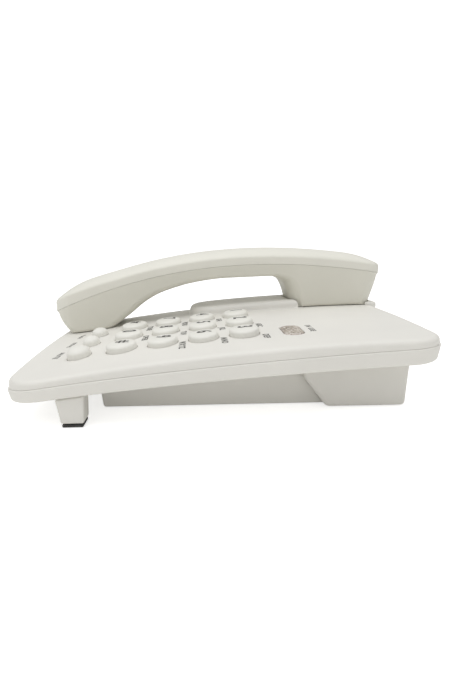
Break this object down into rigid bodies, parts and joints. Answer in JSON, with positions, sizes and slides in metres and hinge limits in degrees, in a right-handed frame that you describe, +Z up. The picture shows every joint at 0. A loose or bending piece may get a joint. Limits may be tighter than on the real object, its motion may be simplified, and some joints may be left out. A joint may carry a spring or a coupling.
{
  "type": "corded desk telephone",
  "caption": "Slab-shaped corded desk telephone with push keys, a hook switch and a lift-off handset resting in its cradle.",
  "frame": {"origin": "on the ground, under the middle of the whole phone's bounding box", "axes": "+Z up, +Y towards the back of the phone along the handset's length, +X towards the phone's right, away from the handset"},
  "size_m": [0.15, 0.211, 0.0757],
  "materials": {
    "case_plastic": "satin",
    "handset_plastic": "satin",
    "key_plastic": "satin",
    "lens": "gloss",
    "lamp": "gloss",
    "black_rubber": "matte",
    "keypad_rubber": "matte",
    "circuit_board": "satin",
    "dark_plastic": "satin",
    "steel": "brushed",
    "brass": "satin"
  },
  "bodies": {
    "base": {"base_handset_jack": "dark_plastic", "case_screw_1": "steel", "case_screw_2": "steel", "case_screw_3": "steel", "case_screw_4": "steel", "dial_switch_body": "dark_plastic", "front_leg_left": "case_plastic", "front_leg_right": "case_plastic", "hook_pivot_pin": "steel", "hook_switch": "dark_plastic", "indicator_led": "lamp", "indicator_lens": "lens", "keypad_mat": "keypad_rubber", "leg_tip_left": "black_rubber", "leg_tip_right": "black_rubber", "line_jack": "dark_plastic", "lower_case": "case_plastic", "main_board": "circuit_board", "rear_pad_left": "black_rubber", "rear_pad_right": "black_rubber", "rear_stand": "case_plastic", "ringer_disc": "brass", "ringer_switch_body": "dark_plastic", "upper_case": "case_plastic"},
    "handset": {"handset_outer_shell": "handset_plastic", "handset_inner_shell": "handset_plastic", "handset_cord_jack": "dark_plastic", "handset_weight": "steel", "receiver_capsule": "dark_plastic", "receiver_gasket": "black_rubber", "microphone": "dark_plastic", "mic_boot": "black_rubber"},
    "hook_plunger": {"hook_plunger": "handset_plastic"},
    "hook_lever": {"hook_lever": "dark_plastic"},
    "key_1": {"key_1": "key_plastic"},
    "key_2": {"key_2": "key_plastic"},
    "key_3": {"key_3": "key_plastic"},
    "key_4": {"key_4": "key_plastic"},
    "key_5": {"key_5": "key_plastic"},
    "key_6": {"key_6": "key_plastic"},
    "key_7": {"key_7": "key_plastic"},
    "key_8": {"key_8": "key_plastic"},
    "key_9": {"key_9": "key_plastic"},
    "key_star": {"key_star": "key_plastic"},
    "key_0": {"key_0": "key_plastic"},
    "key_hash": {"key_hash": "key_plastic"},
    "key_flash": {"key_flash": "key_plastic"},
    "key_redial": {"key_redial": "key_plastic"},
    "key_mute": {"key_mute": "key_plastic"},
    "ringer_switch_knob": {"ringer_switch_knob": "dark_plastic"},
    "dial_switch_knob": {"dial_switch_knob": "dark_plastic"}
  },
  "joints": [
    {"name": "handset_lift", "type": "slide", "parent": "base", "child": "handset", "axis": [0, 0, 1], "range_m": [0, 0.06]},
    {"name": "hook_plunger_travel", "type": "slide", "parent": "base", "child": "hook_plunger", "axis": [0, 0, 1], "range_m": [0, 0.004]},
    {"name": "hook_lever_swing", "type": "hinge", "parent": "base", "child": "hook_lever", "pos_m": [-0.036, 0.06, 0.0284], "axis": [0, 1, 0], "range_deg": [0, 12.7]},
    {"name": "key_1_press", "type": "slide", "parent": "base", "child": "key_1", "axis": [0, -0.1126, 0.9936], "range_m": [-0.0013, 0], "stiffness_N_per_m": 400, "springref_m": 0.0003},
    {"name": "key_2_press", "type": "slide", "parent": "base", "child": "key_2", "axis": [0, -0.1126, 0.9936], "range_m": [-0.0013, 0], "stiffness_N_per_m": 400, "springref_m": 0.0003},
    {"name": "key_3_press", "type": "slide", "parent": "base", "child": "key_3", "axis": [0, -0.1126, 0.9936], "range_m": [-0.0013, 0], "stiffness_N_per_m": 400, "springref_m": 0.0003},
    {"name": "key_4_press", "type": "slide", "parent": "base", "child": "key_4", "axis": [0, -0.1126, 0.9936], "range_m": [-0.0013, 0], "stiffness_N_per_m": 400, "springref_m": 0.0003},
    {"name": "key_5_press", "type": "slide", "parent": "base", "child": "key_5", "axis": [0, -0.1126, 0.9936], "range_m": [-0.0013, 0], "stiffness_N_per_m": 400, "springref_m": 0.0003},
    {"name": "key_6_press", "type": "slide", "parent": "base", "child": "key_6", "axis": [0, -0.1126, 0.9936], "range_m": [-0.0013, 0], "stiffness_N_per_m": 400, "springref_m": 0.0003},
    {"name": "key_7_press", "type": "slide", "parent": "base", "child": "key_7", "axis": [0, -0.1126, 0.9936], "range_m": [-0.0013, 0], "stiffness_N_per_m": 400, "springref_m": 0.0003},
    {"name": "key_8_press", "type": "slide", "parent": "base", "child": "key_8", "axis": [0, -0.1126, 0.9936], "range_m": [-0.0013, 0], "stiffness_N_per_m": 400, "springref_m": 0.0003},
    {"name": "key_9_press", "type": "slide", "parent": "base", "child": "key_9", "axis": [0, -0.1126, 0.9936], "range_m": [-0.0013, 0], "stiffness_N_per_m": 400, "springref_m": 0.0003},
    {"name": "key_star_press", "type": "slide", "parent": "base", "child": "key_star", "axis": [0, -0.1126, 0.9936], "range_m": [-0.0013, 0], "stiffness_N_per_m": 400, "springref_m": 0.0003},
    {"name": "key_0_press", "type": "slide", "parent": "base", "child": "key_0", "axis": [0, -0.1126, 0.9936], "range_m": [-0.0013, 0], "stiffness_N_per_m": 400, "springref_m": 0.0003},
    {"name": "key_hash_press", "type": "slide", "parent": "base", "child": "key_hash", "axis": [0, -0.1126, 0.9936], "range_m": [-0.0013, 0], "stiffness_N_per_m": 400, "springref_m": 0.0003},
    {"name": "key_flash_press", "type": "slide", "parent": "base", "child": "key_flash", "axis": [0, -0.1126, 0.9936], "range_m": [-0.0009, 0], "stiffness_N_per_m": 400, "springref_m": 0.0003},
    {"name": "key_redial_press", "type": "slide", "parent": "base", "child": "key_redial", "axis": [0, -0.1126, 0.9936], "range_m": [-0.0009, 0], "stiffness_N_per_m": 400, "springref_m": 0.0003},
    {"name": "key_mute_press", "type": "slide", "parent": "base", "child": "key_mute", "axis": [0, -0.1126, 0.9936], "range_m": [-0.0009, 0], "stiffness_N_per_m": 400, "springref_m": 0.0003},
    {"name": "ringer_switch_slide", "type": "slide", "parent": "base", "child": "ringer_switch_knob", "axis": [1, 0, 0], "range_m": [-0.0023, 0.0023]},
    {"name": "dial_switch_slide", "type": "slide", "parent": "base", "child": "dial_switch_knob", "axis": [1, 0, 0], "range_m": [-0.0043, 0]}
  ],
  "couplings": [
    {"joint": "hook_plunger_travel", "follows": "handset_lift", "ratio": 0.066667},
    {"joint": "hook_lever_swing", "follows": "handset_lift", "rad_per_m": 3.6667}
  ]
}
